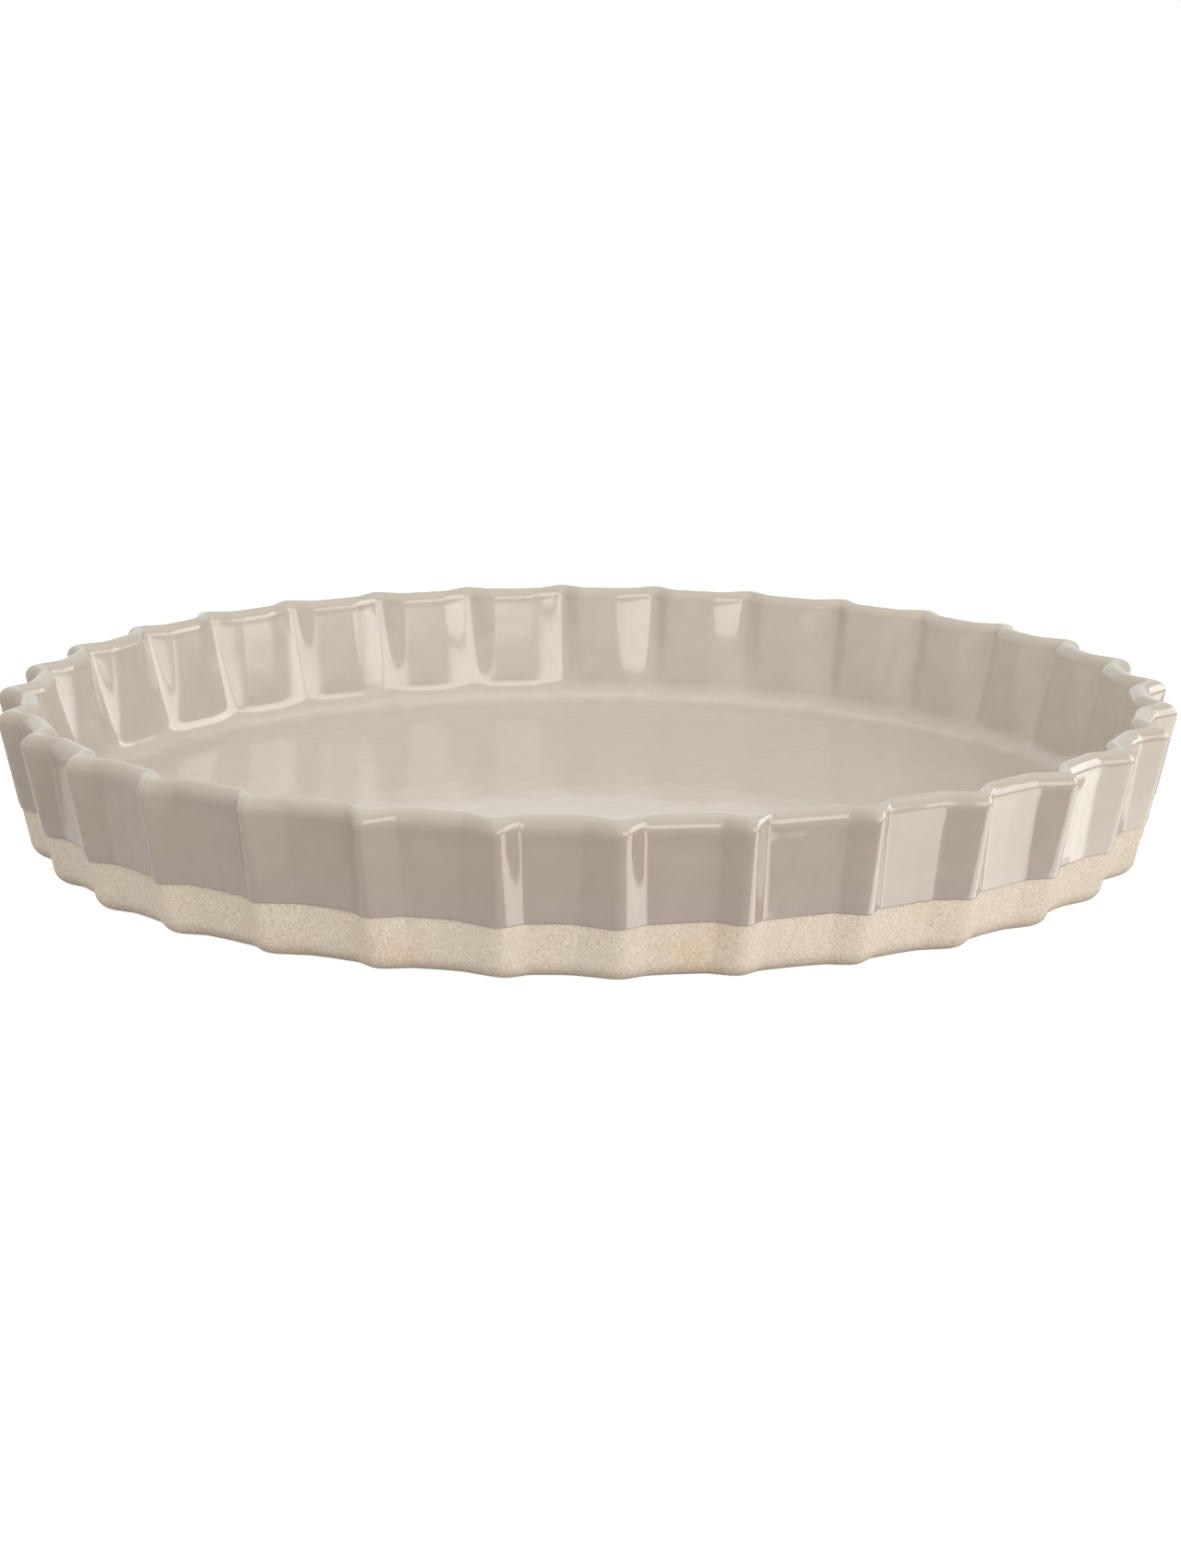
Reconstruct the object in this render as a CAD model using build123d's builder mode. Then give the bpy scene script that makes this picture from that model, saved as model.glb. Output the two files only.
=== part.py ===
from build123d import *
import os
from math import cos, degrees, pi, radians, sin, tan

os.makedirs("parts", exist_ok=True)

# Driving dimensions in millimetres. Z is up and the foot stands on Z = 0.
FLUTES = 32
DISH_RADIUS = 140.0
DISH_HEIGHT = 35.5
WALL = 5.6
GLAZE = 0.5
GLAZE_LINE = 12.0

# The flutes outside: narrow rounded crowns that stand out between flat panels. The crowns lean
# inwards more than the panels do, so the flutes grow shallower towards the foot.
CROWN_DRAFT = radians(12)
PANEL_DRAFT = radians(8.6)
FLANK_TURN = radians(36)
FLUTE_DEPTH = 4.95
CROWN_ROUND = 3.2

# The flutes inside: broad flat ridges with narrow grooves between them, which lean as the crowns do.
RIDGE_DRAFT = radians(9)
GROOVE_DEPTH = 3.85
GROOVE_ROUND = 2.4

# The clay's crowns and grooves are flat. RIB_ROOT is how deep each one's section reaches into the wall.
CLAY_CROWN_WIDTH = 1.8
LEAST_ROUND = 0.3
RIB_ROOT = 5.0

# Rim, cove, floor and foot.
RIM_ROUND = WALL / 2
CREST_FLAT = 1.0
FLOOR_LEVEL = 5.2
COVE_ROUND = 7.0
COVE_STEPS = 2
FOOT_ROUND = 4.5
FOOT_STEPS = 2
RECESS_RADIUS = 115.8
RECESS_DEPTH = 1.0
RECESS_TAPER = 40

# Sizes that follow from the ones above.
HALF_PITCH = pi / FLUTES
RIM_LEVEL = DISH_HEIGHT - RIM_ROUND
RIM_PANEL = DISH_RADIUS - FLUTE_DEPTH
RIM_RIDGE = RIM_PANEL - WALL
RIM_GROOVE = RIM_RIDGE + GROOVE_DEPTH
CLAY_FLOOR = FLOOR_LEVEL - GLAZE
CLAY_RIM_ROUND = RIM_ROUND - GLAZE
CLAY_RIM_LIFT = radians(70)


def flank_distance(crown, rounding, drop):
    """How far a crown's flanks lie from the axis, at a drop below the level where the rim starts."""
    return (crown - drop * tan(CROWN_DRAFT) - rounding) * cos(FLANK_TURN) + rounding


def outside_wall(level, inset):
    """The outer face at a level, moved in by an inset: its flanks, panels and crowns' radius."""
    drop = RIM_LEVEL - level
    flank = flank_distance(DISH_RADIUS, CROWN_ROUND, drop)
    panel = RIM_PANEL - drop * tan(PANEL_DRAFT)
    return flank - inset, panel - inset, max(CROWN_ROUND - inset, LEAST_ROUND)


def inside_wall(level, outset):
    """The inner face at a level, moved out by an outset: its flanks, ridges and grooves' radius."""
    drop = RIM_LEVEL - level
    flank = flank_distance(RIM_GROOVE, GROOVE_ROUND, drop)
    ridge = RIM_RIDGE - drop * tan(RIDGE_DRAFT)
    return flank + outset, ridge + outset, max(GROOVE_ROUND + outset, LEAST_ROUND)


def turned(angle, outward, along):
    """A point in plan, from its distances outward and along as seen when facing out at an angle."""
    return (outward * cos(angle) - along * sin(angle), outward * sin(angle) + along * cos(angle))


def crown_point(facing, flank, half_width):
    """A corner of a flat crown, or its sharp tip where the half width is 0."""
    return turned(facing, (flank - abs(half_width) * sin(FLANK_TURN)) / cos(FLANK_TURN), half_width)


def flank_point(facing, flank, panel, side):
    """Where a flank meets the panel beside it, which faces half a pitch away from the crown."""
    bend = FLANK_TURN - HALF_PITCH
    half_panel = (panel * cos(bend) - flank) / sin(bend)
    return turned(facing + HALF_PITCH, panel, side * half_panel)


def closed_face(level, points, roundings):
    """A flat face at a level inside a closed outline, whose corners have the given roundings."""
    with BuildSketch(Plane.XY.offset(level)) as section:
        with BuildLine():
            FilletPolyline(*points, radius=roundings, close=True)
        make_face()
    return section.sketch


def clay_outline(level, wall):
    """The clay's flutes at a level: flat crown, flank, panel and flank, all sharp-cornered."""
    flank, panel, _ = wall
    points = []
    for flute in range(FLUTES):
        facing = 2 * pi * flute / FLUTES
        points += [crown_point(facing, flank, side * CLAY_CROWN_WIDTH / 2) for side in (-1, 1)]
        points += [flank_point(facing, flank, panel, side) for side in (-1, 1)]
    return closed_face(level, points, 0)


def glazed_outline(level, wall):
    """The glazed flutes at a level: rounded crown, flank, panel and flank."""
    flank, panel, rounding = wall
    points = []
    for flute in range(FLUTES):
        facing = 2 * pi * flute / FLUTES
        points.append(crown_point(facing, flank, 0))
        points += [flank_point(facing, flank, panel, side) for side in (-1, 1)]
    return closed_face(level, points, (rounding, 0, 0) * FLUTES)


def bend_steps(rounding, draft, steps):
    """Distances in from the wall, and rises from the flat, of points on the arc that joins the two."""
    tangent_length = rounding * tan((pi / 2 - draft) / 2)
    points = []
    for step in range(steps + 1):
        sweep = (pi / 2 - draft) * step / steps
        rise = rounding * (1 - cos(sweep))
        points.append((tangent_length + rise * tan(draft) - rounding * sin(sweep), rise))
    return points


def rib_face(wall, crown_points, roundings):
    """The section of one crown or groove at the level where the rim starts, with its root in the wall."""
    flank, panel, _ = wall
    root = panel - RIB_ROOT
    half_root = (flank - root * cos(FLANK_TURN)) / sin(FLANK_TURN)
    return closed_face(RIM_LEVEL, crown_points + [(root, half_root), (root, -half_root)], roundings)


def clay_rib(wall):
    """The section of one of the clay's flat crowns or grooves."""
    crown_points = [crown_point(0, wall[0], side * CLAY_CROWN_WIDTH / 2) for side in (-1, 1)]
    return rib_face(wall, crown_points, 0)


def glazed_rib(wall):
    """The section of one of the glaze's rounded crowns or grooves."""
    return rib_face(wall, [crown_point(0, wall[0], 0)], (wall[2], 0, 0))


def fluted_wall(wall, draft, rib_section, bottom):
    """A fluted solid from a level up to where the rim starts: flat sides, with a rib at each corner."""
    height = RIM_LEVEL - bottom
    with BuildPart() as rib:
        add(rib_section)
        extrude(amount=height / cos(CROWN_DRAFT), dir=(-sin(CROWN_DRAFT), 0, -cos(CROWN_DRAFT)))
    with BuildPart() as flared:
        with BuildSketch(Plane.XY.offset(bottom)):
            RegularPolygon(wall[1], FLUTES, major_radius=False)
        extrude(amount=height, taper=degrees(draft))
        mirror(about=Plane.XY.offset((bottom + RIM_LEVEL) / 2), mode=Mode.REPLACE)
        with PolarLocations(0, FLUTES):
            add(rib.part)
    return flared.part


# The rim's rounding, as distances in from either wall and levels, for the glaze and for the clay.
rim_steps = [
    (0, RIM_LEVEL),
    (RIM_ROUND * (1 - cos(pi / 4)), RIM_LEVEL + RIM_ROUND * sin(pi / 4)),
    (RIM_ROUND - CREST_FLAT / 2, DISH_HEIGHT),
]
clay_rim_steps = [
    (GLAZE, RIM_LEVEL),
    (RIM_ROUND - CLAY_RIM_ROUND * cos(CLAY_RIM_LIFT), RIM_LEVEL + CLAY_RIM_ROUND * sin(CLAY_RIM_LIFT)),
]

# The clay's outer form: rounded foot, fluted wall and the shoulder that the rim's glaze covers.
with BuildPart() as clay_form:
    foot_steps = [(GLAZE + inset, rise) for inset, rise in bend_steps(FOOT_ROUND, PANEL_DRAFT, FOOT_STEPS)]
    loft([clay_outline(level, outside_wall(level, inset)) for inset, level in foot_steps], ruled=True)
    rim_wall = outside_wall(RIM_LEVEL, GLAZE)
    add(fluted_wall(rim_wall, PANEL_DRAFT, clay_rib(rim_wall), foot_steps[-1][1]))
    loft([clay_outline(level, outside_wall(level, inset)) for inset, level in clay_rim_steps], ruled=True)

# The clay's hollow, one glaze thickness larger than the finished one.
with BuildPart() as clay_hollow:
    cove_bend = bend_steps(COVE_ROUND + GLAZE, RIDGE_DRAFT, COVE_STEPS)
    cove_steps = [(GLAZE - inset, CLAY_FLOOR + rise) for inset, rise in cove_bend]
    loft([clay_outline(level, inside_wall(level, outset)) for outset, level in cove_steps], ruled=True)
    rim_wall = inside_wall(RIM_LEVEL, GLAZE)
    add(fluted_wall(rim_wall, RIDGE_DRAFT, clay_rib(rim_wall), cove_steps[-1][1]))
    loft([clay_outline(level, inside_wall(level, outset)) for outset, level in clay_rim_steps], ruled=True)

# The finished outer form from the glaze line up to the crest of the rim.
with BuildPart() as glazed_form:
    rim_wall = outside_wall(RIM_LEVEL, 0)
    add(fluted_wall(rim_wall, PANEL_DRAFT, glazed_rib(rim_wall), GLAZE_LINE))
    loft([glazed_outline(level, outside_wall(level, inset)) for inset, level in rim_steps], ruled=True)

# The finished hollow: floor, cove, fluted wall and the inner half of the rim, carried on above it.
with BuildPart() as glazed_hollow:
    cove_bend = bend_steps(COVE_ROUND, RIDGE_DRAFT, COVE_STEPS)
    cove_steps = [(-inset, FLOOR_LEVEL + rise) for inset, rise in cove_bend]
    loft([glazed_outline(level, inside_wall(level, outset)) for outset, level in cove_steps], ruled=True)
    rim_wall = inside_wall(RIM_LEVEL, 0)
    add(fluted_wall(rim_wall, RIDGE_DRAFT, glazed_rib(rim_wall), cove_steps[-1][1]))
    steps = rim_steps + [(RIM_ROUND, DISH_HEIGHT + RIM_ROUND)]
    loft([glazed_outline(level, inside_wall(level, outset)) for outset, level in steps], ruled=True)

# The fired clay dish: fluted wall, floor and a standing ring round a shallow recess.
with BuildPart() as stoneware_body:
    add(clay_form.part)
    add(clay_hollow.part, mode=Mode.SUBTRACT)
    with BuildSketch(Plane.XY):
        Circle(RECESS_RADIUS)
    extrude(amount=RECESS_DEPTH, taper=RECESS_TAPER, mode=Mode.SUBTRACT)

# The glaze: one coat over the floor, the inner wall, the rim and the outside down to the glaze line.
with BuildPart() as glaze_coat:
    add(glazed_form.part)
    add(clay_form.part, mode=Mode.SUBTRACT)
    add(clay_hollow.part)
    add(glazed_hollow.part, mode=Mode.SUBTRACT)

stoneware_body.part.label = "stoneware_body"
glaze_coat.part.label = "glaze_coat"
export_step(stoneware_body.part, "parts/stoneware_body.step")
export_step(glaze_coat.part, "parts/glaze_coat.step")
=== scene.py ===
"""A fluted quiche dish in glazed stoneware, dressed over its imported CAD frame.

The dish is one fired piece: a clay body, bare at its foot, and a glossy grey-beige glaze over the rest.
Both are rebuilt here as fine meshes in the places of their CAD nodes, with the slight unevenness of a
pressed and dipped piece, and lit by a plain soft studio.
"""

import logging
import math
from dataclasses import dataclass, field
from enum import Enum

import bpy
import numpy as np
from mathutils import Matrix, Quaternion, Vector

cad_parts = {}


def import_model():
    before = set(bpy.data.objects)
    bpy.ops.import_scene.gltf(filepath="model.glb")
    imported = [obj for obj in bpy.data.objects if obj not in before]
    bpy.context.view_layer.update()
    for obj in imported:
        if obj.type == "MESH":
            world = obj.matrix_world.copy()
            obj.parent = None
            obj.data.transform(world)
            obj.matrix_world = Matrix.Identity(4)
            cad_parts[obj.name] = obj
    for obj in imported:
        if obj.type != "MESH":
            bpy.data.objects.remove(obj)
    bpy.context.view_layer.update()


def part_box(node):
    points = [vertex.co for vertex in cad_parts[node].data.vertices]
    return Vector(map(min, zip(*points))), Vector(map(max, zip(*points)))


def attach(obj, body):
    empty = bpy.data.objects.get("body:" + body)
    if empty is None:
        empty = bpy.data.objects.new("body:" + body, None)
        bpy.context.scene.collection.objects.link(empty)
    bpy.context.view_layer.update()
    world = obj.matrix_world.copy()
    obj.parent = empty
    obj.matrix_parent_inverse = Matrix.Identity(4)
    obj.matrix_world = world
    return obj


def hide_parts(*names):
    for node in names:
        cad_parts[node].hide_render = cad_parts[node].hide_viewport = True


log = logging.getLogger("quiche_dish")

# One millimetre in metres, the number of flutes, and the angle from one flute to the next.
MM = 0.001
FLUTES = 32
PITCH = 2 * math.pi / FLUTES


class Slot(Enum):
    """The record's material slots."""

    STONEWARE = "stoneware"
    GLAZE = "glaze"


def smooth_step(value: np.ndarray | float, start: float, end: float) -> np.ndarray | float:
    """Makes a soft ramp from 0 at start to 1 at end.

    Args:
        value: The value or values to place on the ramp.
        start: Where the ramp starts.
        end: Where it ends, above or below the start.

    Returns:
        A share from 0 to 1 for each value.
    """
    share = np.clip((value - start) / (end - start), 0.0, 1.0)
    return share * share * (3.0 - 2.0 * share)


@dataclass(frozen=True)
class FluteForm:
    """The flutes of one face of the wall, in millimetres and degrees.

    A flute is a crown, which lies furthest from the axis, between two flanks, and flat panels divide
    the flutes. Inside the dish the crowns are grooves and the panels are ridges.

    Args:
        crown_radius: Radius over the crowns at the rim.
        draft: Lean of the crowns from the vertical.
        rim_depth: Depth of the flutes at the rim.
        low_depth: Depth of the flutes at the bottom of the wall.
        rim_flank: Width of a flank along the wall at the rim.
        low_flank: Width of a flank at the bottom of the wall.
        crown_reach: How far the crown's rounding reaches down each flank.
        corner_reach: How far the rounding between flank and panel reaches to either side.
        bow: How far a panel's middle lies in from its edges.
        skew: How much wider the flank after a crown is than the mean, and the one before it narrower.
        lip: How much shallower the flutes are in the last millimetres below the rim.
    """

    crown_radius: float
    draft: float
    rim_depth: float
    low_depth: float
    rim_flank: float
    low_flank: float
    crown_reach: float
    corner_reach: float
    bow: float
    skew: float
    lip: float


@dataclass(frozen=True)
class HandMade:
    """How the flutes of a pressed dish differ from one another, in millimetres and degrees.

    Args:
        seed: Seed of the random draws.
        turn: Spread of the crowns' places round the dish.
        reach: Most that a crown lies further in than the furthest one.
        flank: Spread of the flanks' widths.
        rise: Most that the rim dips below its highest point.
        front: The first of the flutes at the front whose flanks are sized one by one.
        front_turn: How far these flutes' crowns are turned from their even places.
        front_before: How much wider the flanks before these flutes' crowns are.
        front_after: How much wider the flanks after them are.
    """

    seed: int = 28
    turn: float = 0.22
    reach: float = 0.9
    flank: float = 0.7
    rise: float = 0.4
    front: int = 21
    front_turn: tuple[float, ...] = (0.0, 0.1, 0.9, 0.1, -0.3, -0.1)
    front_before: tuple[float, ...] = (-2.6, -2.3, 1.6, 1.3, -1.8, -1.8)
    front_after: tuple[float, ...] = (2.3, 1.2, -1.2, -0.5, -1.0, -1.0)


class FluteRow:
    """The row of flutes round the dish, and the outlines that its sections have.

    Args:
        form: The flutes' sizes.
        hand: The flutes' unevenness.
        low: Level of the bottom of the wall, in millimetres.
        high: Level at which the rim's rounding starts, in millimetres.
    """

    # The number of an outline's points on half a panel, a corner, a flank and a crown.
    PANEL_POINTS = 5
    CORNER_POINTS = 4
    FLANK_POINTS = 3
    CROWN_POINTS = 8
    # How far below the rim's rounding the lip starts and ends, in millimetres.
    LIP_START = 3.6
    LIP_END = 0.6

    def __init__(self, form: FluteForm, hand: HandMade, low: float, high: float) -> None:
        """Draws the flutes' differences, which are the same for every section."""
        self.form = form
        self.low = low
        self.high = high
        draws = np.random.default_rng(hand.seed)
        turns = draws.uniform(-hand.turn, hand.turn, FLUTES)
        self.angles = PITCH * np.arange(FLUTES) + np.radians(turns)
        # The power leaves most crowns near the furthest one.
        self.reaches = -hand.reach * draws.uniform(0.0, 1.0, FLUTES) ** 1.5
        self.before = draws.uniform(-hand.flank, hand.flank, FLUTES)
        self.after = draws.uniform(-hand.flank, hand.flank, FLUTES)

    @property
    def columns(self) -> int:
        """The number of points in an outline."""
        per_side = self.PANEL_POINTS + self.CORNER_POINTS + self.FLANK_POINTS
        return FLUTES * (2 * per_side + self.CROWN_POINTS)

    def depth(self, level: float) -> float:
        """The flutes' depth at a level.

        Args:
            level: Level in millimetres.

        Returns:
            Depth in millimetres, less where the lip forms below the rim.
        """
        share = (level - self.low) / (self.high - self.low)
        depth = self.form.low_depth + (self.form.rim_depth - self.form.low_depth) * share
        lip = self.form.lip * smooth_step(level, self.high - self.LIP_START, self.high - self.LIP_END)
        return depth - lip

    def outline(self, level: float, inset: float = 0.0, fade: float = 0.0) -> np.ndarray:
        """The wall's outline at a level.

        Args:
            level: Level in millimetres.
            inset: How far the whole outline is moved in towards the axis.
            fade: Share of the flutes' depth that is lost, as in the cove.

        Returns:
            Plan points in millimetres, one row for each column of the mesh.
        """
        form = self.form
        share = np.clip((level - self.low) / (self.high - self.low), 0.0, 1.0)
        flank = form.low_flank + (form.rim_flank - form.low_flank) * share
        depth = self.depth(level) * (1.0 - fade)
        lean = (self.high - level) * math.tan(math.radians(form.draft))
        slope = math.atan2(depth, flank)
        # The crown's corner stands further out than its rounded top, by what the rounding takes off.
        tip = 0.5 * form.crown_reach * math.sin(slope)
        crowns = form.crown_radius + self.reaches - lean - inset
        after = np.roll(self.angles, -1)
        after[-1] += 2 * math.pi
        middle = 0.5 * (self.angles + after)
        panels = 0.5 * (crowns + np.roll(crowns, -1)) - depth
        half = panels * np.tan(0.5 * (after - self.angles))
        out = np.stack([np.cos(middle), np.sin(middle)], axis=1)
        along = np.stack([-np.sin(middle), np.cos(middle)], axis=1)
        face = panels[:, None] * out
        facing = np.stack([np.cos(self.angles), np.sin(self.angles)], axis=1)
        apex = (crowns + tip)[:, None] * facing
        first = face - (half - flank - form.skew - self.after)[:, None] * along
        last = face + (half - flank + form.skew - np.roll(self.before, -1))[:, None] * along
        sunk = face - form.bow * out
        return self.sample(np.roll(sunk, 1, axis=0), np.roll(last, 1, axis=0), apex, first, sunk)

    def sample(self, *path: np.ndarray) -> np.ndarray:
        """Points along every flute's path, closest together where it turns.

        Args:
            *path: The middle of the panel before, its near corner, the crown, the next corner and
                the middle of the panel after, each as one row for each flute.

        Returns:
            The points of the whole outline, one row each.
        """
        reaches = (self.form.corner_reach, self.form.crown_reach, self.form.corner_reach)
        counts = (self.CORNER_POINTS, self.CROWN_POINTS, self.CORNER_POINTS)
        straights = (self.PANEL_POINTS, self.FLANK_POINTS, self.FLANK_POINTS, self.PANEL_POINTS)
        pieces = []
        start = path[0]
        for index, (reach, count) in enumerate(zip(reaches, counts)):
            corner, beyond = path[index + 1], path[index + 2]
            towards = corner - path[index]
            away = beyond - corner
            enter = corner - reach * towards / np.linalg.norm(towards, axis=1, keepdims=True)
            leave = corner + reach * away / np.linalg.norm(away, axis=1, keepdims=True)
            for share in np.arange(straights[index]) / straights[index]:
                pieces.append(start + (enter - start) * share)
            for share in np.arange(count) / count:
                rest = 1 - share
                pieces.append(rest**2 * enter + 2 * share * rest * corner + share**2 * leave)
            start = leave
        for share in np.arange(straights[3]) / straights[3]:
            pieces.append(start + (path[4] - start) * share)
        return np.stack(pieces, axis=1).reshape(-1, 2)


class RingStack:
    """A closed mesh made of rings that share their columns, with a point at either end."""

    def __init__(self) -> None:
        """Starts with no rings."""
        self.rings: list[np.ndarray] = []
        self.thin_shades: list[float] = []
        self.inside_lights: list[float] = []

    def add(
        self, plan: np.ndarray, levels: np.ndarray | float, thin_shade: float = 0.0, inside_light: float = 0.0
    ) -> None:
        """Adds a ring.

        Args:
            plan: Plan points in millimetres.
            levels: Level of the ring, or of each of its points.
            thin_shade: Share of thinned glaze on the ring, darker as painted shade on the rim's crest.
            inside_light: Share of the inside's paler colour on the ring, which is painted light.
        """
        count = len(plan)
        self.rings.append(np.column_stack([plan, np.broadcast_to(levels, count)]))
        self.thin_shades.append(thin_shade)
        self.inside_lights.append(inside_light)

    def build(self, name: str, first_level: float, last_level: float) -> bpy.types.Object:
        """Makes the object.

        Args:
            name: Name of the piece.
            first_level: Level of the point that closes the first ring.
            last_level: Level of the point that closes the last ring.

        Returns:
            The new object, linked to the scene and shaded smooth.
        """
        count = len(self.rings[0])
        ends = np.array([[0.0, 0.0, first_level], [0.0, 0.0, last_level]])
        points = np.concatenate([*self.rings, ends]) * MM
        here = np.arange(count)
        there = np.roll(here, -1)
        faces = []
        for row in range(len(self.rings) - 1):
            low, high = row * count, (row + 1) * count
            faces += np.stack([low + here, low + there, high + there, high + here], axis=1).tolist()
        first = len(self.rings) * count
        top = (len(self.rings) - 1) * count
        faces += np.stack([np.full(count, first), there, here], axis=1).tolist()
        faces += np.stack([np.full(count, first + 1), top + here, top + there], axis=1).tolist()
        mesh = bpy.data.meshes.new(name)
        mesh.from_pydata(points.tolist(), [], faces)
        # thin_glaze_shade marks the rim's thinned glaze with its painted shade, painted_light_inside the
        # inside's painted light.
        for layer, shares in (("thin_glaze_shade", self.thin_shades), ("painted_light_inside", self.inside_lights)):
            mark = mesh.attributes.new(layer, "FLOAT", "POINT")
            values = np.append(np.repeat(shares, count), [shares[0], shares[-1]])
            mark.data.foreach_set("value", values)
        mesh.polygons.foreach_set("use_smooth", [True] * len(mesh.polygons))
        mesh.update()
        piece = bpy.data.objects.new(name, mesh)
        bpy.context.scene.collection.objects.link(piece)
        return piece


def linear(code: str) -> tuple[float, float, float, float]:
    """Turns a colour from sRGB to linear.

    Args:
        code: The colour as an sRGB hex value.

    Returns:
        Its red, green and blue as linear values, and an alpha of 1.
    """
    parts = [int(code[place : place + 2], 16) / 255 for place in (1, 3, 5)]
    turned = [part / 12.92 if part <= 0.04045 else ((part + 0.055) / 1.055) ** 2.4 for part in parts]
    return (*turned, 1.0)


def add_node(
    tree: bpy.types.NodeTree, kind: str, inputs: dict[str | int, object] | None = None, **settings: object
) -> bpy.types.Node:
    """Adds a node to a tree.

    Args:
        tree: The node tree.
        kind: The node's type.
        inputs: A value for an input, or the output socket that is linked to it.
        **settings: The node's own settings.

    Returns:
        The new node.
    """
    node = tree.nodes.new(kind)
    for name, value in settings.items():
        setattr(node, name, value)
    for name, value in (inputs or {}).items():
        if isinstance(value, bpy.types.NodeSocket):
            tree.links.new(value, node.inputs[name])
        else:
            node.inputs[name].default_value = value
    return node


def per_metre(size: float) -> float:
    """Turns the size of a texture's features into its scale.

    Args:
        size: Size of the features in millimetres.

    Returns:
        The texture's scale for places in metres.
    """
    return 1.0 / (size * MM)


def blank_material(name: str) -> tuple[bpy.types.Material, bpy.types.NodeTree, bpy.types.NodeSocket]:
    """Makes a material that has no nodes but the one that gives places.

    Args:
        name: Name of the material.

    Returns:
        The material, its tree, and the socket that gives places on the object in metres.
    """
    material = bpy.data.materials.new(name)
    material.use_nodes = True
    tree = material.node_tree
    tree.nodes.clear()
    places = add_node(tree, "ShaderNodeTexCoord").outputs["Object"]
    return material, tree, places


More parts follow.
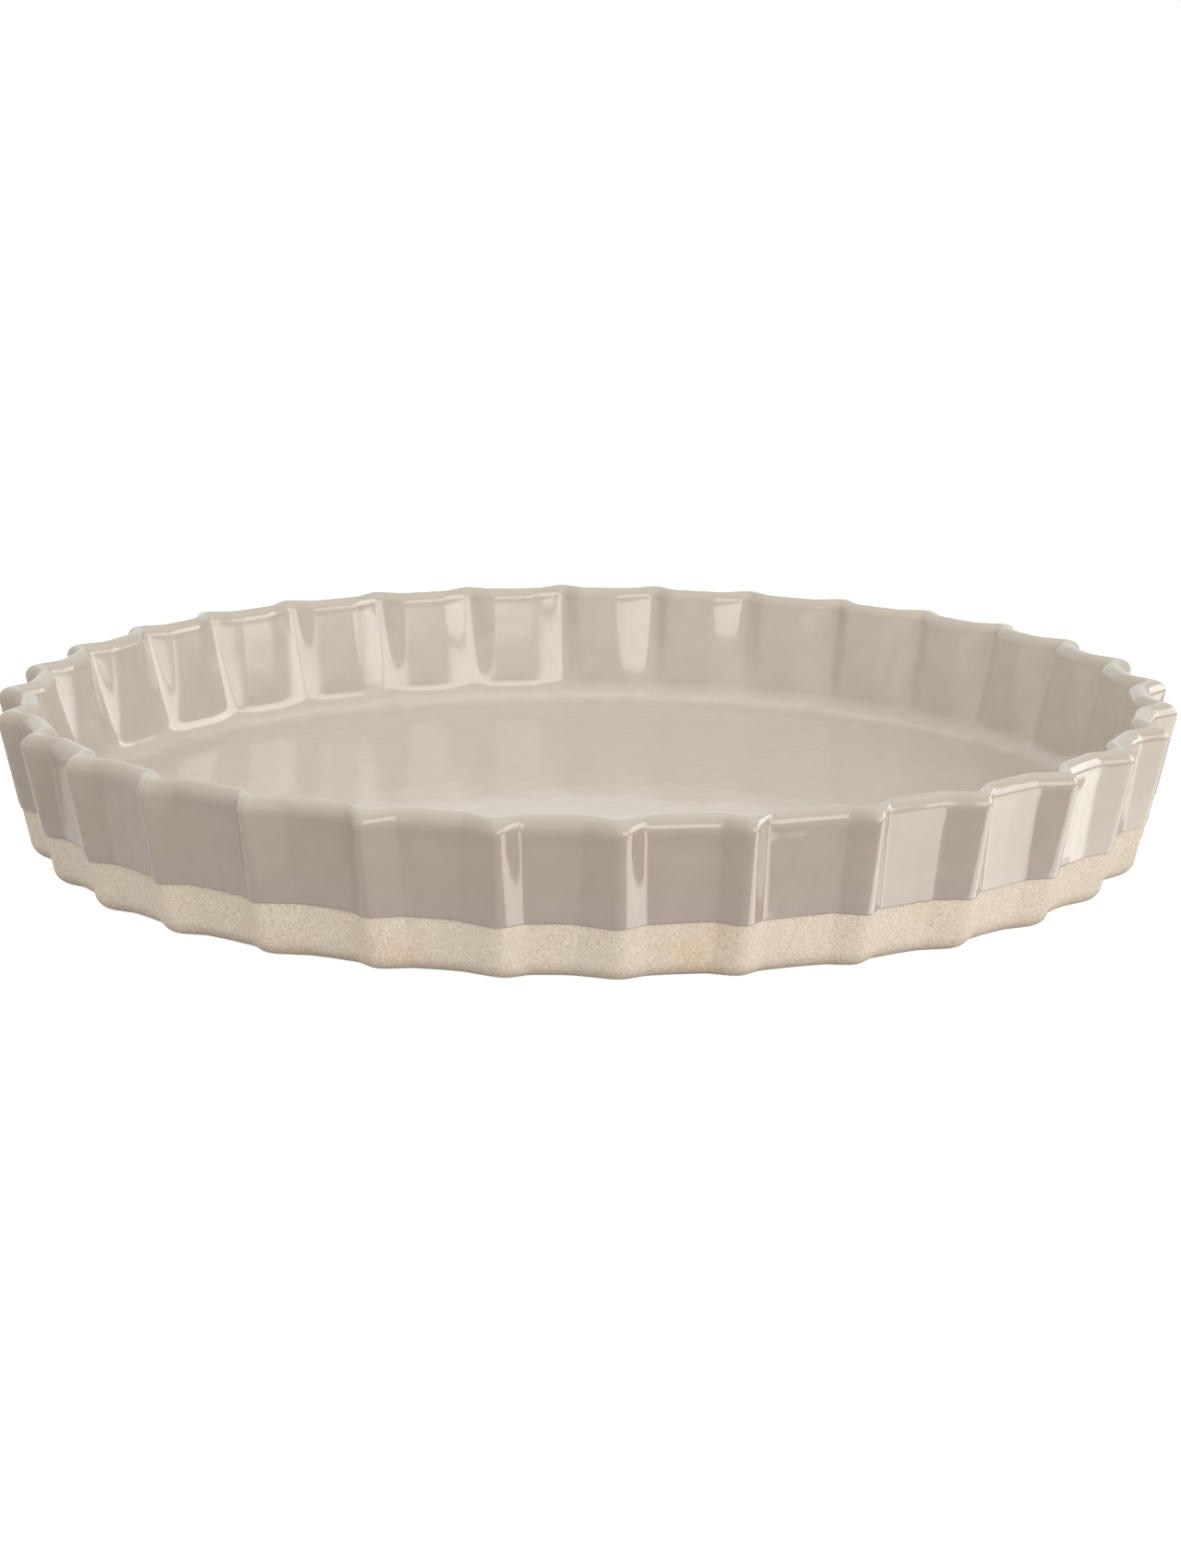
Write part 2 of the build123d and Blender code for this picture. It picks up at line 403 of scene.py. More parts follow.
@dataclass(frozen=True)
class GreigeGlaze:
    """Glossy stoneware glaze: an opaque glass coat that is poured inside, dipped outside and fired.

    It gives the eye clear, slightly softened reflections of the lights over a grey-beige, pebbled a
    little like orange peel, with a few iron specks. Inside, its colour is painted paler, a painted
    light for the stronger light that the inside gets. On the rim it is yellower where it runs
    thinner, and darker there as painted shade on the crest, and it is a touch lilac towards its lower
    edge.

    Args:
        body: Main colour outside.
        warm: The warmer of the two colours that the main one drifts between.
        cool: The cooler one.
        poured: Colour inside the dish, made paler as painted light for the stronger light inside.
        edge: Colour at the lower edge.
        thin_shade: Colour of the rim's thinned glaze, made darker as painted shade on the crest.
        speck: Colour of the iron specks.
        roughness: Roughness of fired glaze, raised a little by its pebbling.
        ior: Index of refraction of a stoneware glaze.
        drift_size: Width of the drifts of colour, in millimetres.
        cloud_size: Width of the small clouds in it, in millimetres.
        speck_size: Distance between possible specks, in millimetres.
        speck_spread: Width of the patches that have specks, in millimetres.
        peel_size: Width of the pebbling, in millimetres.
        peel_height: Height of the pebbling, in millimetres.
        wave_size: Width of the slow waves in the surface, in millimetres.
        wave_height: Height of the slow waves, in millimetres.
        edge_top: Level up to which the edge's colour reaches, in millimetres.
        edge_full: Level below which it is full, in millimetres.
    """

    body: str = "#A89B8D"
    warm: str = "#AC9B88"
    cool: str = "#A1988F"
    # Painted light: the inside colour is paler, standing in for the stronger light that the inside gets.
    poured: str = "#B3AA9C"
    edge: str = "#A89A91"
    # Thinned glaze and painted shade: yellower for the thinned glaze, darker to take down the crest's
    # light.
    thin_shade: str = "#9E9887"
    speck: str = "#8E7F6D"
    roughness: float = 0.13
    ior: float = 1.52
    drift_size: float = 34.0
    cloud_size: float = 5.0
    speck_size: float = 1.6
    speck_spread: float = 3.1
    peel_size: float = 2.2
    peel_height: float = 0.006
    wave_size: float = 14.0
    wave_height: float = 0.12
    edge_top: float = 21.0
    edge_full: float = 13.5

    def material(self) -> bpy.types.Material:
        """Builds the glaze's material.

        Returns:
            The new material.
        """
        material, tree, places = blank_material("glossy_greige_glaze")
        drift = add_node(
            tree,
            "ShaderNodeTexNoise",
            {"Vector": places, "Scale": per_metre(self.drift_size), "Detail": 3.0},
        )
        cloud = add_node(
            tree,
            "ShaderNodeTexNoise",
            {"Vector": places, "Scale": per_metre(self.cloud_size), "Detail": 4.0},
        )
        tone = add_node(
            tree,
            "ShaderNodeMix",
            {0: drift.outputs["Fac"], 6: linear(self.warm), 7: linear(self.cool)},
            data_type="RGBA",
        )
        clouded = add_node(
            tree, "ShaderNodeMix", {0: 0.5, 6: tone.outputs[2], 7: linear(self.body)}, data_type="RGBA"
        )
        split = add_node(tree, "ShaderNodeSeparateXYZ", {"Vector": places})
        near_edge = add_node(
            tree,
            "ShaderNodeMapRange",
            {
                "Value": split.outputs["Z"],
                "From Min": self.edge_full * MM,
                "From Max": self.edge_top * MM,
                "To Min": 1.0,
                "To Max": 0.0,
            },
        )
        dipped = add_node(
            tree,
            "ShaderNodeMix",
            {0: near_edge.outputs["Result"], 6: clouded.outputs[2], 7: linear(self.edge)},
            data_type="RGBA",
        )
        # Painted light: the inside takes the paler colour, standing in for its stronger light.
        inside_light = add_node(tree, "ShaderNodeAttribute", attribute_name="painted_light_inside")
        inside_lit = add_node(
            tree,
            "ShaderNodeMix",
            {0: inside_light.outputs["Fac"], 6: dipped.outputs[2], 7: linear(self.poured)},
            data_type="RGBA",
        )
        mottle = add_node(
            tree,
            "ShaderNodeMapRange",
            {
                "Value": cloud.outputs["Fac"],
                "From Min": 0.3,
                "From Max": 0.7,
                "To Min": 0.965,
                "To Max": 1.03,
            },
        )
        shaded = add_node(
            tree,
            "ShaderNodeVectorMath",
            {0: inside_lit.outputs[2], 1: mottle.outputs["Result"]},
            operation="MULTIPLY",
        )
        grain = add_node(
            tree,
            "ShaderNodeTexVoronoi",
            {"Vector": places, "Scale": per_metre(self.speck_size)},
            feature="F1",
        )
        rare = add_node(
            tree,
            "ShaderNodeTexNoise",
            {"Vector": places, "Scale": per_metre(self.speck_spread), "Detail": 0.0},
        )
        near = add_node(
            tree,
            "ShaderNodeMapRange",
            {
                "Value": grain.outputs["Distance"],
                "From Min": 0.05,
                "From Max": 0.16,
                "To Min": 1.0,
                "To Max": 0.0,
            },
        )
        chosen = add_node(
            tree,
            "ShaderNodeMapRange",
            {
                "Value": rare.outputs["Fac"],
                "From Min": 0.62,
                "From Max": 0.72,
                "To Min": 0.0,
                "To Max": 0.45,
            },
        )
        specks = add_node(
            tree,
            "ShaderNodeMath",
            {0: near.outputs["Result"], 1: chosen.outputs["Result"]},
            operation="MULTIPLY",
        )
        spotted = add_node(
            tree,
            "ShaderNodeMix",
            {0: specks.outputs[0], 6: shaded.outputs[0], 7: linear(self.speck)},
            data_type="RGBA",
        )
        # Painted shade: the rim's crest takes the darker, yellower colour of thinned glaze.
        thin_shade = add_node(tree, "ShaderNodeAttribute", attribute_name="thin_glaze_shade")
        colour = add_node(
            tree,
            "ShaderNodeMix",
            {0: thin_shade.outputs["Fac"], 6: spotted.outputs[2], 7: linear(self.thin_shade)},
            data_type="RGBA",
        )
        peel = add_node(
            tree,
            "ShaderNodeTexNoise",
            {"Vector": places, "Scale": per_metre(self.peel_size), "Detail": 1.0},
        )
        wave = add_node(
            tree,
            "ShaderNodeTexNoise",
            {"Vector": places, "Scale": per_metre(self.wave_size), "Detail": 1.0},
        )
        waved = add_node(
            tree,
            "ShaderNodeBump",
            {"Strength": 1.0, "Distance": self.wave_height * MM, "Height": wave.outputs["Fac"]},
        )
        pebbled = add_node(
            tree,
            "ShaderNodeBump",
            {
                "Strength": 1.0,
                "Distance": self.peel_height * MM,
                "Height": peel.outputs["Fac"],
                "Normal": waved.outputs["Normal"],
            },
        )
        shader = add_node(
            tree,
            "ShaderNodeBsdfPrincipled",
            {
                "Base Color": colour.outputs[2],
                "Roughness": self.roughness,
                "IOR": self.ior,
                "Normal": pebbled.outputs["Normal"],
            },
        )
        add_node(tree, "ShaderNodeOutputMaterial", {"Surface": shader.outputs["BSDF"]})
        return material


@dataclass(frozen=True)
class BareStoneware:
    """Unglazed stoneware: sandy buff clay fired to a matt, slightly open surface.

    It gives the eye a dry cream-buff with fine pale and dark grains and a few toasted patches.

    Args:
        buff: Main colour.
        toasted: Colour of the toasted patches.
        pale: Colour of the pale grains.
        dark: Colour of the dark grains.
        roughness: Roughness of bare fired clay.
        ior: Index of refraction of fired clay.
        toast_size: Width of the toasted patches, in millimetres.
        grain_size: Width of the grains, in millimetres. It is as coarse as they need to show.
        grit_size: Width of the surface's unevenness, in millimetres.
        grit_height: Height of the surface's unevenness, in millimetres.
    """

    buff: str = "#D4C7B7"
    toasted: str = "#CEB48F"
    pale: str = "#E5DBCD"
    dark: str = "#B49F89"
    roughness: float = 0.82
    ior: float = 1.5
    toast_size: float = 17.0
    grain_size: float = 0.5
    grit_size: float = 1.5
    grit_height: float = 0.12

    def material(self) -> bpy.types.Material:
        """Builds the bare clay's material.

        Returns:
            The new material.
        """
        material, tree, places = blank_material("bare_stoneware_clay")
        toast = add_node(
            tree,
            "ShaderNodeTexNoise",
            {"Vector": places, "Scale": per_metre(self.toast_size), "Detail": 3.0},
        )
        toasting = add_node(
            tree,
            "ShaderNodeMapRange",
            {
                "Value": toast.outputs["Fac"],
                "From Min": 0.5,
                "From Max": 0.75,
                "To Min": 0.0,
                "To Max": 0.6,
            },
        )
        ground = add_node(
            tree,
            "ShaderNodeMix",
            {0: toasting.outputs["Result"], 6: linear(self.buff), 7: linear(self.toasted)},
            data_type="RGBA",
        )
        grain = add_node(
            tree,
            "ShaderNodeTexNoise",
            {"Vector": places, "Scale": per_metre(self.grain_size), "Detail": 2.0},
        )
        lighten = add_node(
            tree,
            "ShaderNodeMapRange",
            {
                "Value": grain.outputs["Fac"],
                "From Min": 0.52,
                "From Max": 0.7,
                "To Min": 0.0,
                "To Max": 0.7,
            },
        )
        darken = add_node(
            tree,
            "ShaderNodeMapRange",
            {
                "Value": grain.outputs["Fac"],
                "From Min": 0.46,
                "From Max": 0.3,
                "To Min": 0.0,
                "To Max": 0.6,
            },
        )
        lit = add_node(
            tree,
            "ShaderNodeMix",
            {0: lighten.outputs["Result"], 6: ground.outputs[2], 7: linear(self.pale)},
            data_type="RGBA",
        )
        sandy = add_node(
            tree,
            "ShaderNodeMix",
            {0: darken.outputs["Result"], 6: lit.outputs[2], 7: linear(self.dark)},
            data_type="RGBA",
        )
        grit = add_node(
            tree,
            "ShaderNodeTexNoise",
            {"Vector": places, "Scale": per_metre(self.grit_size), "Detail": 3.0},
        )
        rough = add_node(
            tree,
            "ShaderNodeBump",
            {"Strength": 1.0, "Distance": self.grit_height * MM, "Height": grit.outputs["Fac"]},
        )
        shader = add_node(
            tree,
            "ShaderNodeBsdfPrincipled",
            {
                "Base Color": sandy.outputs[2],
                "Roughness": self.roughness,
                "IOR": self.ior,
                "Normal": rough.outputs["Normal"],
            },
        )
        add_node(tree, "ShaderNodeOutputMaterial", {"Surface": shader.outputs["BSDF"]})
        return material


@dataclass
class QuicheDish:
    """The dish: its clay body and its coat of glaze, in millimetres.

    Args:
        radius: Radius over the crowns, from the frame.
        height: Height of the rim, from the frame.
        wall: Thickness of the wall and the rim.
        groove_inset: How far the grooves inside lie in from the crowns outside.
        glaze: Thickness of the glaze.
        glaze_line: Level at which the glaze ends outside.
        floor: Level of the finished floor inside.
        cove_lean: Lean of the wall inside where it meets the cove, in degrees.
        cove: Radius of the cove between the floor and the wall.
        foot: Radius of the foot's rounding.
        recess_radius: Radius of the recess underneath.
        recess_depth: Depth of the recess underneath.
        hidden_gap: How far the glaze's hidden side stays off the clay.
        drip: Height of the waves in the glaze's lower edge.
        face_start: How far above the glaze line the face of the glaze starts.
        hidden_start: How far above the glaze line its hidden side starts to follow the wall.
        rim_thinning_shade: Share of thinned glaze on the crest of the rim, which also carries painted
            shade.
        groove_fade: Share of the grooves' depth that is lost in the cove.
        hand: The flutes' unevenness.
    """

    # Shares of the floor's radius at which its rings lie, and the one from which they are round.
    FLOOR_RINGS = (0.985, 0.96, 0.92, 0.8, 0.64, 0.48, 0.32, 0.16)
    ROUND_FLOOR = 0.92
    # Share of the way over the rim at which the inside's paler colour, painted light, begins.
    INSIDE_LIGHT_START = 0.3
    # The rolled lower edge of the glaze, as shares of its thickness and rises in millimetres.
    ROLLED_EDGE = ((0.35, 0.02), (0.75, 0.16), (0.95, 0.4), (1.0, 0.8))
    # Heights above the glaze line between which the waves of its edge die out.
    DRIP_FADE = (1.2, 6.0)
    # The waves in that edge, as their number round the dish and their share of the drip.
    DRIP_WAVES = ((3, 1.0), (7, 0.6), (29, 0.35), (61, 0.2))
    # The waves in the rim, as their number round the dish.
    RIM_WAVES = (2, 3, 5)
    # Shares of the recess's radius at which its rings lie, from the middle outwards.
    RECESS_RINGS = (0.3, 0.6, 0.9)
    # The rounded edge of the recess, as distances in from its radius and levels in millimetres.
    RECESS_EDGE = ((1.0, 1.0), (0.75, 0.9), (0.4, 0.5), (0.1, 0.08), (-0.2, 0.0))
    # Shares of the foot's bend at which its rings lie.
    FOOT_RINGS = (0.0, 0.12, 0.25, 0.37, 0.5, 0.62, 0.75, 0.87, 1.0)
    # The level at which the clay's outer wall starts, just above the foot's bend.
    WALL_START = 4.6

    radius: float
    height: float
    wall: float = 5.6
    groove_inset: float = 6.7
    glaze: float = 0.5
    glaze_line: float = 12.0
    floor: float = 5.2
    cove_lean: float = 10.0
    cove: float = 7.0
    foot: float = 4.5
    recess_radius: float = 115.8
    recess_depth: float = 1.0
    hidden_gap: float = 0.02
    drip: float = 0.22
    face_start: float = 1.6
    hidden_start: float = 2.0
    rim_thinning_shade: float = 0.75
    groove_fade: float = 0.9
    hand: HandMade = field(default_factory=HandMade)

    def __post_init__(self) -> None:
        """Lays out the flutes of the outer and the inner face."""
        self.rim_round = self.wall / 2
        self.rim_level = self.height - self.rim_round
        outside = FluteForm(
            crown_radius=self.radius,
            draft=12.0,
            rim_depth=5.3,
            low_depth=2.9,
            rim_flank=6.0,
            low_flank=6.8,
            crown_reach=2.5,
            corner_reach=0.8,
            bow=0.25,
            skew=-0.8,
            lip=0.3,
        )
        inside = FluteForm(
            crown_radius=self.radius - self.groove_inset,
            draft=16.3,
            rim_depth=4.0,
            low_depth=0.3,
            rim_flank=6.8,
            low_flank=6.8,
            crown_reach=2.0,
            corner_reach=1.6,
            bow=0.0,
            skew=1.8,
            lip=0.0,
        )
        self.outer = FluteRow(outside, self.hand, 0.0, self.rim_level)
        chosen = slice(self.hand.front, self.hand.front + len(self.hand.front_before))
        even = PITCH * np.arange(FLUTES)[chosen]
        self.outer.angles[chosen] = even + np.radians(self.hand.front_turn)
        self.outer.before[chosen] = self.hand.front_before
        self.outer.after[chosen] = self.hand.front_after
        self.inner = FluteRow(inside, self.hand, self.floor, self.rim_level)
        waves = np.random.default_rng(self.hand.seed + 1)
        self.phases = waves.uniform(0.0, 2 * math.pi, 6)

    def dips(self) -> np.ndarray:
        """The dips of the rim.

        Returns:
            How far the rim lies from its highest level at each column, as 0 or less.
        """
        turn = np.linspace(0.0, 2 * math.pi, self.outer.columns, endpoint=False)
        wave = sum(np.sin(order * turn + self.phases[order]) for order in self.RIM_WAVES)
        return -self.hand.rise * (len(self.RIM_WAVES) - wave) / (2 * len(self.RIM_WAVES))

    def uneven(self, level: float) -> np.ndarray:
        """Gives a level of the wall the rim's dips, which die out towards the foot.

        Args:
            level: The even level.

        Returns:
            The level at each column.
        """
        return level + self.dips() * (level / self.rim_level) ** 2

    def drips(self) -> np.ndarray:
        """The waves of the glaze's lower edge.

        Returns:
            How far the edge lies above or below its mean level at each column.
        """
        turn = np.linspace(0.0, 2 * math.pi, self.outer.columns, endpoint=False)
        wave = sum(
            share * np.sin(order * turn + phase)
            for (order, share), phase in zip(self.DRIP_WAVES, self.phases)
        )
        return self.drip * wave

    def rim_rings(self, coat: float, steps: int) -> list[tuple[np.ndarray, np.ndarray, float]]:
        """The rim's rounding, from outside to inside.

        Args:
            coat: How far the surface lies inside the finished one.
            steps: Number of steps over the rim.

        Returns:
            For each ring, its plan, its levels and how high on the rounding it lies, from 0 to 1.
        """
        outer = self.outer.outline(self.rim_level, coat)
        inner = self.inner.outline(self.rim_level, -coat)
        rings = []
        for sweep in np.linspace(0.0, math.pi, steps + 1):
            plan = 0.5 * (outer + inner) + 0.5 * (outer - inner) * math.cos(sweep)
            lift = math.sin(sweep)
            levels = self.rim_level + (self.rim_round - coat) * lift + self.dips()
            rings.append((plan, levels, lift))
        return rings

    def outer_rings(self, coat: float, start: float, steps: int) -> list[tuple[np.ndarray, np.ndarray]]:
        """The outer wall from a level up to the rim's rounding.

        Args:
            coat: How far the surface lies inside the finished one.
            start: The lowest level.
            steps: Number of steps.

        Returns:
            For each ring, its plan and its levels.
        """
        rings = []
        for share in np.linspace(0.0, 1.0, steps + 1)[:-1]:
            level = start + (self.rim_level - start) * share
            rings.append((self.outer.outline(level, coat), self.uneven(level)))
        return rings

    def inner_rings(self, coat: float, steps: int, cove_steps: int) -> list[tuple[np.ndarray, np.ndarray]]:
        """The inner wall from the rim's rounding down through the cove, and the floor.

        Args:
            coat: How far the surface lies below the finished one.
            steps: Number of steps down the wall.
            cove_steps: Number of steps round the cove.

        Returns:
            For each ring, its plan and its levels.
        """
        rings = []
        lean = math.radians(self.cove_lean)
        sweep_end = math.pi / 2 - lean
        cove_top = self.floor + self.cove * (1 - math.cos(sweep_end))
        for share in np.linspace(0.0, 1.0, steps + 1)[1:]:
            level = self.rim_level + (cove_top - self.rim_level) * share
            rings.append((self.inner.outline(level, -coat), self.uneven(level)))
        tangent = self.cove * math.tan(sweep_end / 2)
        for share in np.linspace(0.0, 1.0, cove_steps + 1)[1:]:
            sweep = sweep_end * (1.0 - share)
            rise = self.cove * (1 - math.cos(sweep))
            inset = tangent + rise * math.tan(lean) - self.cove * math.sin(sweep)
            level = self.floor + rise
            plan = self.inner.outline(level, inset - coat * (1 - share), self.groove_fade * share)
            rings.append((plan, np.full(len(plan), level - coat * share)))
        edge = rings[-1][0]
        reach = np.linalg.norm(edge, axis=1, keepdims=True)
        for share in self.FLOOR_RINGS:
            round_off = smooth_step(share, 1.0, self.ROUND_FLOOR)
            plan = edge / reach * (reach + (reach.mean() - reach) * round_off) * share
            rings.append((plan, np.full(len(plan), self.floor - coat)))
        return rings

    def glaze_coat(self) -> bpy.types.Object:
        """Builds the glaze: its hidden side, its lower edge, the outer wall, the rim and the inside.

        Returns:
            The glaze as one closed piece.
        """
        stack = RingStack()
        hidden = self.glaze - self.hidden_gap
        edge = self.glaze_line + self.drips()
        low = self.outer.outline(self.glaze_line)
        behind = self.outer.outline(self.glaze_line, self.glaze)
        for plan, levels in reversed(self.inner_rings(hidden, steps=6, cove_steps=5)):
            stack.add(plan, levels)
        for plan, levels, _ in reversed(self.rim_rings(hidden, steps=8)):
            stack.add(plan, levels)
        wall_start = self.glaze_line + self.hidden_start
        for plan, levels in reversed(self.outer_rings(hidden, wall_start, steps=4)):
            stack.add(plan, levels)
        stack.add(behind, edge)
        for out, rise in self.ROLLED_EDGE:
            stack.add(behind + (low - behind) * out, edge + rise)
        fade_start, fade_end = self.DRIP_FADE
        for plan, levels in self.outer_rings(0.0, self.glaze_line + self.face_start, steps=22):
            blend = smooth_step(levels, self.glaze_line + fade_start, self.glaze_line + fade_end)
            stack.add(plan, levels + self.drips() * (1 - blend))
        rim = self.rim_rings(0.0, steps=20)
        # The crest's thinned glaze carries painted shade, and the inside's paler colour, painted light,
        # starts over the rim.
        for step, (plan, levels, lift) in enumerate(rim):
            inside_light = smooth_step(step / len(rim), self.INSIDE_LIGHT_START, 1.0)
            stack.add(plan, levels, self.rim_thinning_shade * lift**1.5, inside_light)
        # Painted light: the whole inside takes the paler colour.
        for plan, levels in self.inner_rings(0.0, steps=18, cove_steps=12):
            stack.add(plan, levels, 0.0, 1.0)
        return stack.build("glaze_coat_dipped", self.floor - hidden, self.floor)

    def stoneware_body(self) -> bpy.types.Object:
        """Builds the clay: underneath, the foot, the outer wall, the rim and the inside.

        Returns:
            The clay as one closed piece.
        """
        stack = RingStack()
        draft = math.radians(self.outer.form.draft)
        sweep_end = math.pi / 2 - draft
        tangent = self.foot * math.tan(sweep_end / 2)
        toe = self.outer.outline(0.0, self.glaze + tangent)
        turn = np.arctan2(toe[:, 1], toe[:, 0])
        ring = np.stack([np.cos(turn), np.sin(turn)], axis=1)
        for share in self.RECESS_RINGS:
            stack.add(ring * (self.recess_radius - self.recess_depth) * share, self.recess_depth)
        for inward, level in self.RECESS_EDGE:
            stack.add(ring * (self.recess_radius - inward), level)
        for share in self.FOOT_RINGS:
            sweep = sweep_end * share
            rise = self.foot * (1 - math.cos(sweep))
            inset = tangent + rise * math.tan(draft) - self.foot * math.sin(sweep)
            stack.add(self.outer.outline(rise, self.glaze + inset), rise)
        for plan, levels in self.outer_rings(self.glaze, self.WALL_START, steps=16):
            stack.add(plan, levels)
        for plan, levels, _ in self.rim_rings(self.glaze, steps=8):
            stack.add(plan, levels)
        for plan, levels in self.inner_rings(self.glaze, steps=6, cove_steps=5):
            stack.add(plan, levels)
        return stack.build("stoneware_body_fired", self.recess_depth, self.floor - self.glaze)

    def build(self) -> None:
        """Builds both pieces, dresses them and puts them in the places of their CAD nodes."""
        pieces = (
            (self.stoneware_body(), "stoneware_body", Slot.STONEWARE, BareStoneware()),
            (self.glaze_coat(), "glaze_coat", Slot.GLAZE, GreigeGlaze()),
        )
        for piece, node, slot, finish in pieces:
            piece.data.materials.append(finish.material())
            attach(piece, "root")
            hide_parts(node)
            log.info("%s: %d points, finish %s", piece.name, len(piece.data.vertices), slot.value)


@dataclass(frozen=True)
class SoftBox:
    """A rectangular studio light.

    Args:
        name: Name of the light.
        place: Its middle, in metres.
        aim: The point that it faces, in metres.
        size: Its width and height, in metres.
        power: Its power in watts.
        colour: Its colour as an sRGB hex value.
        lights_matt: Whether it lights matt surfaces.
        shows_in_gloss: Whether it shows in glossy surfaces.
    """

    name: str
    place: tuple[float, float, float]
    aim: tuple[float, float, float]
    size: tuple[float, float]
    power: float
    colour: str = "#FFFFFF"
    lights_matt: bool = True
    shows_in_gloss: bool = True

    def build(self) -> None:
        """Adds the light to the scene."""
        data = bpy.data.lights.new(self.name, "AREA")
        data.shape = "RECTANGLE"
        data.size, data.size_y = self.size
        data.energy = self.power
        data.color = linear(self.colour)[:3]
        lamp = bpy.data.objects.new(self.name, data)
        lamp.location = self.place
        towards = Vector(self.aim) - Vector(self.place)
        lamp.rotation_euler = towards.to_track_quat("-Z", "Y").to_euler()
        lamp.visible_camera = False
        lamp.visible_diffuse = self.lights_matt
        lamp.visible_glossy = self.shows_in_gloss
        bpy.context.scene.collection.objects.link(lamp)


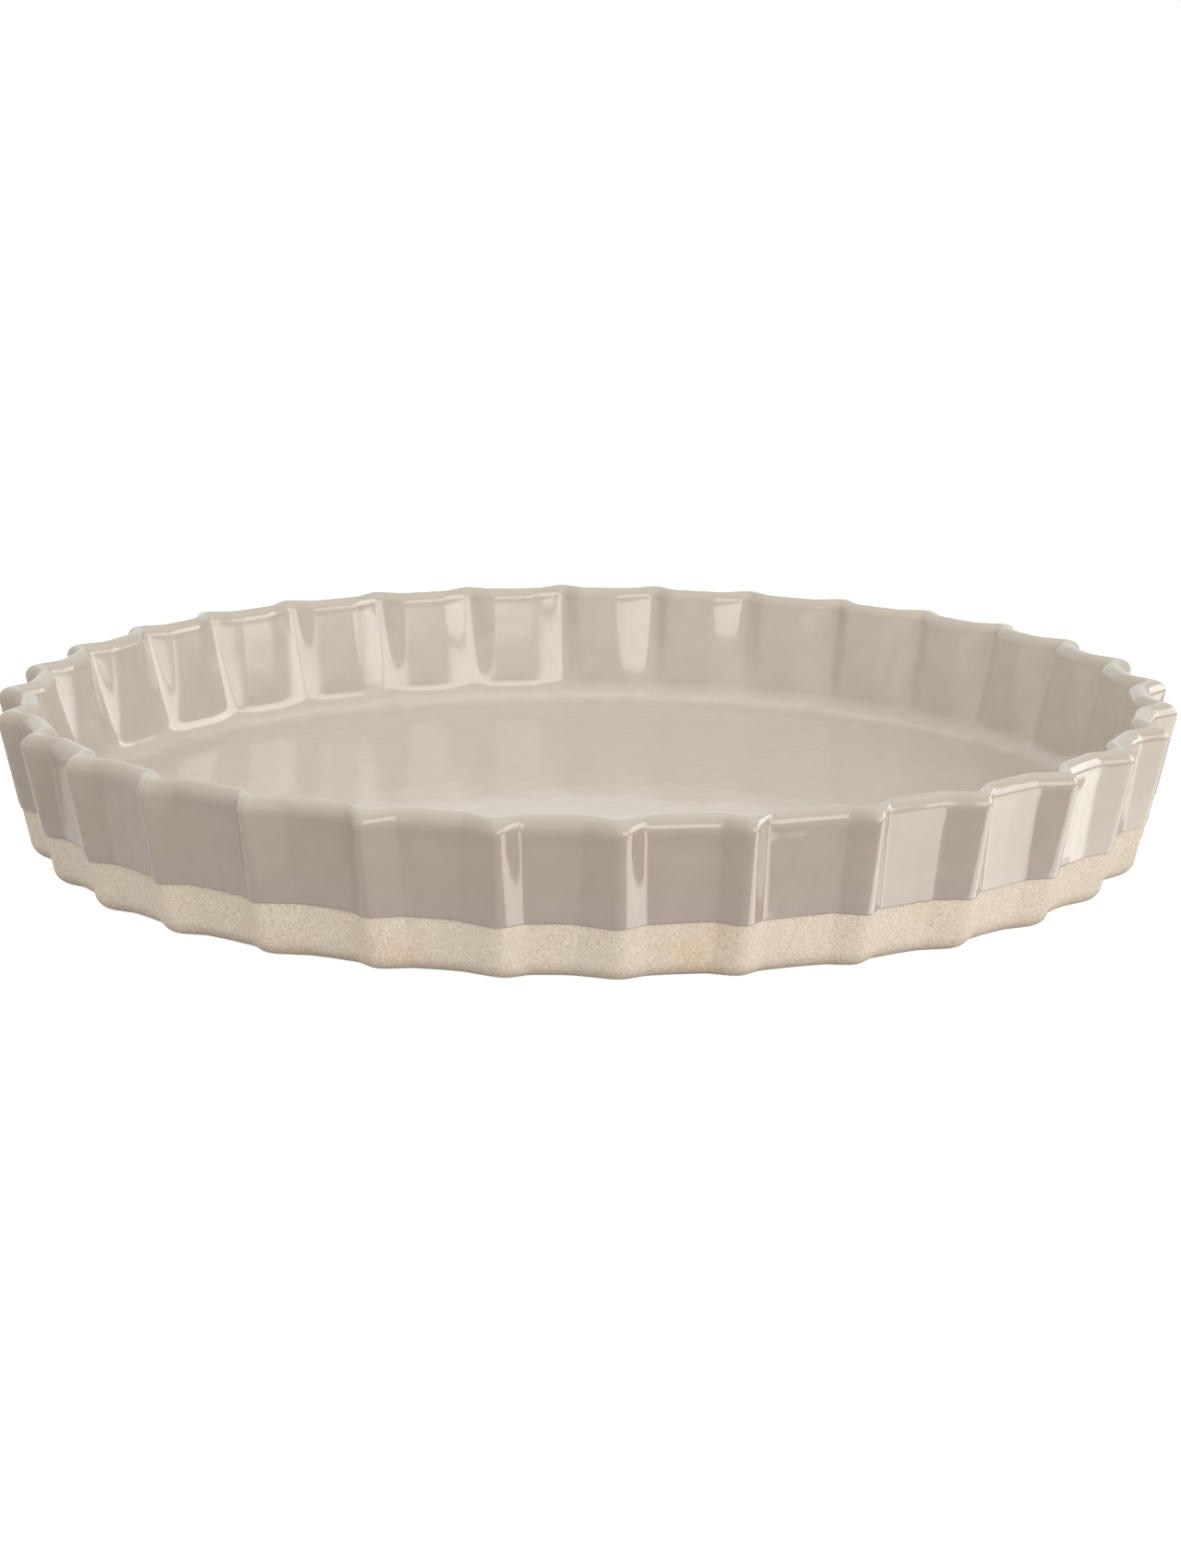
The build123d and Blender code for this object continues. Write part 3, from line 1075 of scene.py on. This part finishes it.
@dataclass
class Studio:
    """The plain studio: floor, lights, white surroundings and the camera.

    Args:
        floor_size: Side of the floor, in metres.
        floor_colour: The floor's colour, as the object sees it.
        floor_glow: How much the floor glows for the camera, so that it melts into the white.
        fill: Level of the surroundings' light on the object.
        lens: Focal length in millimetres.
        sensor: Length of the sensor's longer side in millimetres.
        camera_reach: Distance from the dish's axis to the camera, in metres.
        camera_height: Height of the camera above the floor, in metres.
        camera_turn: Direction of the camera as seen from the dish, in degrees.
        pitch: How far the camera looks down, in degrees.
        roll: How far the camera leans, in degrees.
        shift: The lens's sideways shift, as a share of the frame's longer side.
    """

    floor_size: float = 6.0
    floor_colour: str = "#B4B1AB"
    floor_glow: float = 0.88
    fill: float = 0.68
    lens: float = 76.42
    sensor: float = 36.0
    camera_reach: float = 0.7802
    camera_height: float = 0.1954
    camera_turn: float = -93.0
    pitch: float = 13.33
    roll: float = 0.31
    shift: float = 0.00235

    def build(self) -> None:
        """Builds the whole studio."""
        self.surroundings()
        self.floor()
        for box in self.lights():
            box.build()
        self.camera()
        bpy.context.scene.view_settings.view_transform = "Standard"

    def lights(self) -> tuple[SoftBox, ...]:
        """The studio's lights.

        Returns:
            Two softboxes that light the dish and show in its glaze, a softbox and a reflector that
            only show in it, and two scrims that only light it. The reflector lies below the level of
            the floor, which the glaze's reflections don't see.
        """
        return (
            SoftBox(
                "overhead_softbox",
                place=(0.05, 0.25, 1.1),
                aim=(0.0, 0.0, 0.0),
                size=(1.3, 1.1),
                power=2.4,
            ),
            SoftBox(
                "right_softbox",
                place=(0.95, 0.1, 0.36),
                aim=(0.0, 0.0, 0.36),
                size=(1.0, 0.54),
                power=6.75,
                lights_matt=False,
            ),
            SoftBox(
                "front_right_softbox",
                place=(0.62, -0.98, 0.5),
                aim=(0.0, 0.0, 0.5),
                size=(1.3, 0.6),
                power=9.27,
            ),
            SoftBox(
                "low_reflector",
                place=(0.84, -0.12, -0.42),
                aim=(0.0, -0.05, 0.0),
                size=(1.1, 0.7),
                power=8.55,
                colour="#F9FCEC",
                lights_matt=False,
            ),
            SoftBox(
                "left_scrim",
                place=(-0.8, -0.4, 1.1),
                aim=(0.0, 0.0, 0.0),
                size=(1.0, 0.9),
                power=7.99,
                shows_in_gloss=False,
            ),
            SoftBox(
                "right_scrim",
                place=(0.9, -0.15, 0.75),
                aim=(0.0, 0.0, 0.0),
                size=(0.9, 0.6),
                power=2.67,
                shows_in_gloss=False,
            ),
        )

    def surroundings(self) -> None:
        """White all round, as the camera and the reflections see it, and a soft fill on the object."""
        world = bpy.data.worlds.new("studio_surroundings")
        world.use_nodes = True
        tree = world.node_tree
        tree.nodes.clear()
        path = add_node(tree, "ShaderNodeLightPath")
        seen = path.outputs["Is Camera Ray"]
        for name in ("Is Glossy Ray", "Is Transmission Ray"):
            seen = add_node(
                tree, "ShaderNodeMath", {0: seen, 1: path.outputs[name]}, operation="MAXIMUM"
            ).outputs[0]
        level = add_node(
            tree, "ShaderNodeMapRange", {"Value": seen, "To Min": self.fill, "To Max": 1.0}
        )
        ground = add_node(
            tree, "ShaderNodeBackground", {"Color": linear("#FFFFFF"), "Strength": level.outputs["Result"]}
        )
        add_node(tree, "ShaderNodeOutputWorld", {"Surface": ground.outputs["Background"]})
        bpy.context.scene.world = world

    def floor(self) -> None:
        """A pale floor that melts into the white for the camera and throws light up at the dish."""
        mesh = bpy.data.meshes.new("studio_floor")
        half = self.floor_size / 2
        corners = [(-half, -half, 0), (half, -half, 0), (half, half, 0), (-half, half, 0)]
        mesh.from_pydata(corners, [], [(0, 1, 2, 3)])
        floor = bpy.data.objects.new("studio_floor", mesh)
        bpy.context.scene.collection.objects.link(floor)
        # Matt white paper, a rolled-out pulp sheet: it gives the eye plain white without any shine.
        material, tree, _ = blank_material("matt_white_paper")
        path = add_node(tree, "ShaderNodeLightPath")
        lift = add_node(
            tree,
            "ShaderNodeMath",
            {0: path.outputs["Is Camera Ray"], 1: self.floor_glow},
            operation="MULTIPLY",
        )
        matt = add_node(tree, "ShaderNodeBsdfDiffuse", {"Color": linear(self.floor_colour)})
        glow = add_node(tree, "ShaderNodeEmission", {"Strength": lift.outputs[0]})
        both = add_node(
            tree, "ShaderNodeAddShader", {0: matt.outputs["BSDF"], 1: glow.outputs["Emission"]}
        )
        add_node(tree, "ShaderNodeOutputMaterial", {"Surface": both.outputs["Shader"]})
        mesh.materials.append(material)
        floor.visible_glossy = False

    def camera(self) -> None:
        """The camera, at the viewing angle of the photograph."""
        turn = math.radians(self.camera_turn)
        pitch = math.radians(self.pitch)
        outward = Vector((math.cos(turn), math.sin(turn), 0.0))
        data = bpy.data.cameras.new("camera")
        data.lens = self.lens
        data.sensor_width = self.sensor
        data.shift_x = self.shift
        camera = bpy.data.objects.new("camera", data)
        camera.location = outward * self.camera_reach + Vector((0.0, 0.0, self.camera_height))
        towards = -outward * math.cos(pitch) - Vector((0.0, 0.0, math.sin(pitch)))
        lean = Quaternion((0.0, 0.0, 1.0), math.radians(self.roll))
        camera.rotation_euler = (towards.to_track_quat("-Z", "Y") @ lean).to_euler()
        bpy.context.scene.collection.objects.link(camera)
        bpy.context.scene.camera = camera


def main() -> None:
    """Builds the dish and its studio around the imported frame."""
    logging.basicConfig(level=logging.INFO, format="%(name)s: %(message)s")
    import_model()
    _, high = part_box("glaze_coat")
    QuicheDish(radius=high.x / MM, height=high.z / MM).build()
    Studio().build()


if __name__ == "__main__":
    main()
